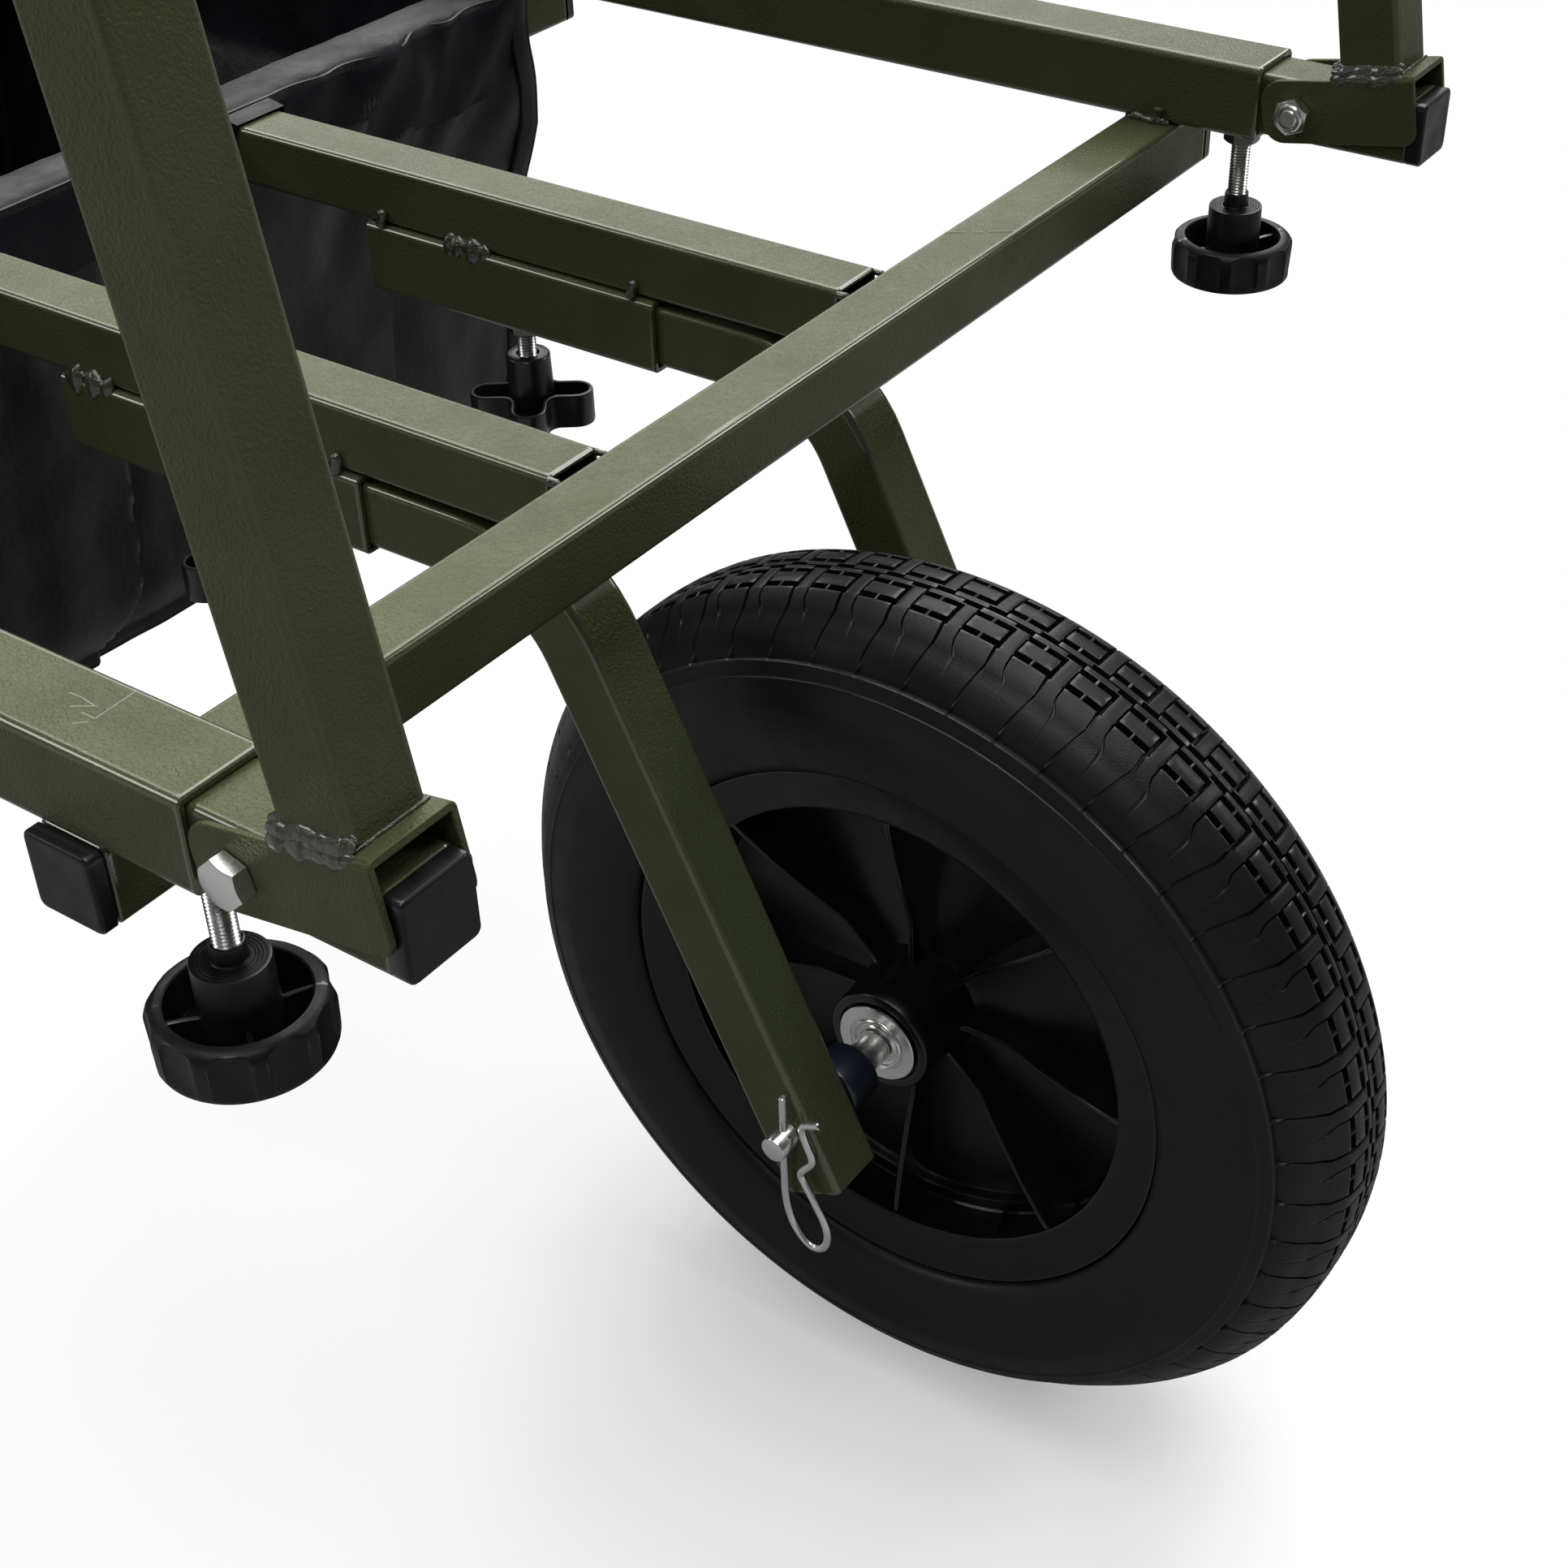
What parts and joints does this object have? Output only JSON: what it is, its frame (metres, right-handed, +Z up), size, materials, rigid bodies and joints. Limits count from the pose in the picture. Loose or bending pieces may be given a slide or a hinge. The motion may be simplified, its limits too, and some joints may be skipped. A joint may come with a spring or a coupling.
{
  "type": "fishing trolley (carp barrow)",
  "caption": "Folding fishing trolley: olive square-tube deck on one pneumatic front wheel, with a folding front hoop, sliding front, handles and rear legs, clamp knobs and a black bag.",
  "frame": {"origin": "centre of the bounding box on the ground", "axes": "+X towards the wheel, +Y to the trolley's left, +Z up"},
  "size_m": [1.3324, 0.666, 0.7529],
  "materials": {
    "green_coat": "hammered dark olive green powder coat, semi-gloss",
    "zinc": "bright zinc plating, slightly brushed",
    "black_plastic": "moulded black nylon, satin",
    "rim_plastic": "moulded black polypropylene, satin",
    "tyre_rubber": "black rubber, matt with a soft sheen",
    "grip_rubber": "black soft rubber, matt",
    "bag_cloth": "black coated polyester cloth, semi-gloss"
  },
  "bodies": {
    "chassis": {"side_rail_right": "green_coat", "side_rail_left": "green_coat", "front_crossbar": "green_coat", "mid_crossbar": "green_coat", "rear_crossbar": "green_coat", "front_crossbar_cap_right": "black_plastic", "front_crossbar_cap_left": "black_plastic", "mid_crossbar_cap_right": "black_plastic", "mid_crossbar_cap_left": "black_plastic", "rear_crossbar_cap_right": "black_plastic", "rear_crossbar_cap_left": "black_plastic", "inner_rail_right": "green_coat", "inner_rail_left": "green_coat", "fork_socket_right": "green_coat", "fork_socket_left": "green_coat", "leg_socket_right": "green_coat", "leg_socket_left": "green_coat", "bag": "bag_cloth"},
    "front_extension": {"front_tube_right": "green_coat", "front_tube_left": "green_coat", "front_plug_right": "black_plastic", "front_plug_left": "black_plastic", "pivot_bolt_right": "zinc", "pivot_bolt_left": "zinc", "pivot_nut_right": "zinc", "pivot_nut_left": "zinc"},
    "hoop": {"hoop_tube": "green_coat", "hoop_bracket_right": "green_coat", "hoop_bracket_left": "green_coat"},
    "fork": {"fork_leg_right": "green_coat", "fork_leg_left": "green_coat", "axle_pin": "zinc", "axle_clip": "zinc", "axle_spacer_right": "black_plastic", "axle_spacer_left": "black_plastic"},
    "wheel": {"tyre": "tyre_rubber", "rim": "rim_plastic", "wheel_bearing_right": "zinc", "wheel_bearing_left": "zinc"},
    "handle_right": {"handle_tube_right": "green_coat", "handle_grip_right": "grip_rubber"},
    "rear_leg_right": {"rear_leg_right": "green_coat", "rear_foot_right": "black_plastic"},
    "front_clamp_right": {"front_clamp_knob_right": "black_plastic", "front_clamp_screw_right": "zinc"},
    "fork_clamp_right": {"fork_clamp_knob_right": "black_plastic", "fork_clamp_screw_right": "zinc"},
    "handle_clamp_right": {"handle_clamp_knob_right": "black_plastic"},
    "leg_clamp_right": {"leg_clamp_knob_right": "black_plastic"},
    "handle_left": {"handle_tube_left": "green_coat", "handle_grip_left": "grip_rubber"},
    "rear_leg_left": {"rear_leg_left": "green_coat", "rear_foot_left": "black_plastic"},
    "front_clamp_left": {"front_clamp_knob_left": "black_plastic", "front_clamp_screw_left": "zinc"},
    "fork_clamp_left": {"fork_clamp_knob_left": "black_plastic", "fork_clamp_screw_left": "zinc"},
    "handle_clamp_left": {"handle_clamp_knob_left": "black_plastic"},
    "leg_clamp_left": {"leg_clamp_knob_left": "black_plastic"}
  },
  "joints": [
    {"name": "fork_slide", "type": "slide", "parent": "chassis", "child": "fork", "axis": [1, 0, 0], "range_m": [-0.035, 0.06]},
    {"name": "wheel_spin", "type": "hinge", "parent": "fork", "child": "wheel", "pos_m": [0.48525, 0, 0.181], "axis": [0, 1, 0], "continuous": true},
    {"name": "front_slide", "type": "slide", "parent": "chassis", "child": "front_extension", "axis": [1, 0, 0], "range_m": [0, 0.3]},
    {"name": "hoop_fold", "type": "hinge", "parent": "front_extension", "child": "hoop", "pos_m": [0.47925, 0, 0.438], "axis": [0, -1, 0], "range_deg": [-10, 80]},
    {"name": "handle_slide_right", "type": "slide", "parent": "chassis", "child": "handle_right", "axis": [-1, 0, 0], "range_m": [-0.15, 0.17]},
    {"name": "leg_slide_right", "type": "slide", "parent": "chassis", "child": "rear_leg_right", "axis": [0, 0, -1], "range_m": [-0.005, 0.08]},
    {"name": "front_clamp_turn_right", "type": "hinge", "parent": "chassis", "child": "front_clamp_right", "pos_m": [0.45075, -0.291, 0.4], "axis": [0, 0, 1], "range_deg": [0, 720]},
    {"name": "fork_clamp_turn_right", "type": "hinge", "parent": "chassis", "child": "fork_clamp_right", "pos_m": [0.23375, -0.082, 0.34], "axis": [0, 0, 1], "range_deg": [0, 720]},
    {"name": "handle_clamp_turn_right", "type": "hinge", "parent": "chassis", "child": "handle_clamp_right", "pos_m": [-0.35425, -0.291, 0.4], "axis": [0, 0, 1], "range_deg": [0, 720]},
    {"name": "leg_clamp_turn_right", "type": "hinge", "parent": "chassis", "child": "leg_clamp_right", "pos_m": [-0.24225, -0.291, 0.3187], "axis": [1, 0, 0], "range_deg": [0, 720]},
    {"name": "handle_slide_left", "type": "slide", "parent": "chassis", "child": "handle_left", "axis": [-1, 0, 0], "range_m": [-0.15, 0.17]},
    {"name": "leg_slide_left", "type": "slide", "parent": "chassis", "child": "rear_leg_left", "axis": [0, 0, -1], "range_m": [-0.005, 0.08]},
    {"name": "front_clamp_turn_left", "type": "hinge", "parent": "chassis", "child": "front_clamp_left", "pos_m": [0.45075, 0.291, 0.4], "axis": [0, 0, 1], "range_deg": [0, 720]},
    {"name": "fork_clamp_turn_left", "type": "hinge", "parent": "chassis", "child": "fork_clamp_left", "pos_m": [0.23375, 0.082, 0.34], "axis": [0, 0, 1], "range_deg": [0, 720]},
    {"name": "handle_clamp_turn_left", "type": "hinge", "parent": "chassis", "child": "handle_clamp_left", "pos_m": [-0.35425, 0.291, 0.4], "axis": [0, 0, 1], "range_deg": [0, 720]},
    {"name": "leg_clamp_turn_left", "type": "hinge", "parent": "chassis", "child": "leg_clamp_left", "pos_m": [-0.24225, 0.291, 0.3187], "axis": [1, 0, 0], "range_deg": [0, 720]}
  ]
}
